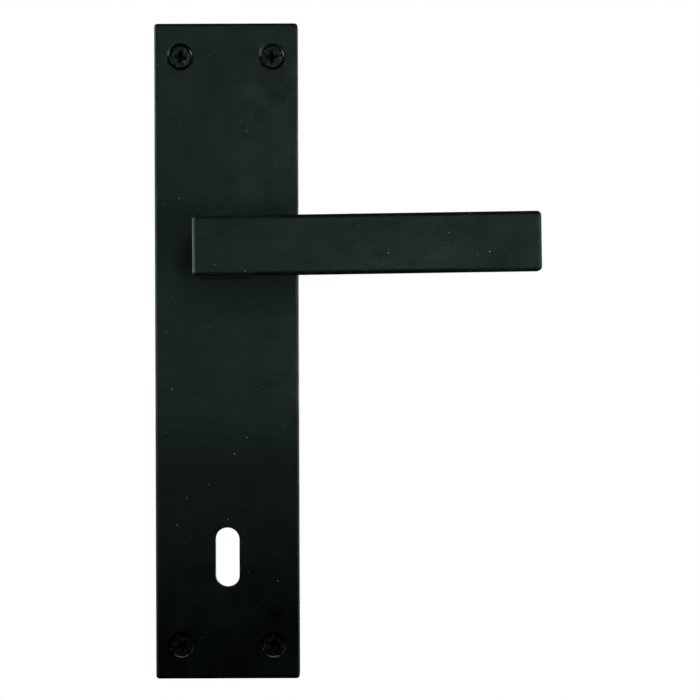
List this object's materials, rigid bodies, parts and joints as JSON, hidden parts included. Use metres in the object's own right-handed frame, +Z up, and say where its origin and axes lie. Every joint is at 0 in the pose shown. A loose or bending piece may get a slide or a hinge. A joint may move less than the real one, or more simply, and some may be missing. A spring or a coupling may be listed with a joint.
{
  "type": "lever door handle",
  "caption": "Square-section L-shaped lever handle, sprung, on a long plain rectangular backplate with a keyhole and countersunk corner screws.",
  "frame": {"origin": "on the lever's turning axis, in the plane of the door face", "axes": "+X to the right along the lever, +Y into the door, +Z up the backplate"},
  "size_m": [0.1358, 0.13, 0.235],
  "materials": {
    "black_coat": "satin black powder coat",
    "black_screw": "black finish, worn to metal on the rims",
    "black_steel": "black oxide",
    "bright_steel": "drawn, lightly oiled",
    "spring_steel": "oil-tempered wire and strip",
    "zinc_casting": "as-cast, dull",
    "plated_steel": "zinc plated",
    "black_nylon": "moulded, glass-filled",
    "white_nylon": "moulded, natural"
  },
  "bodies": {
    "backplate": {"backplate": "black_coat", "bearing_bush": "black_nylon", "spring_housing": "black_nylon", "spring_cover": "plated_steel", "return_spring": "spring_steel", "cover_screw_upper_left": "plated_steel", "cover_screw_upper_right": "plated_steel", "cover_screw_lower_left": "plated_steel", "cover_screw_lower_right": "plated_steel", "wood_screw_upper_left": "black_screw", "wood_screw_upper_right": "black_screw", "wood_screw_lower_left": "black_screw", "wood_screw_lower_right": "black_screw"},
    "lever": {"lever": "black_coat", "spindle": "bright_steel", "grub_screw": "black_steel", "spring_hub": "zinc_casting", "thrust_washer": "white_nylon", "disc_spring": "spring_steel", "retaining_ring": "spring_steel"}
  },
  "joints": [
    {"name": "lever_turn", "type": "hinge", "parent": "backplate", "child": "lever", "pos_m": [0, 0, 0], "axis": [0, 1, 0], "range_deg": [0, 45], "stiffness_Nm_per_rad": 0.215, "springref_deg": -42.97, "deforming": ["return_spring"]}
  ]
}
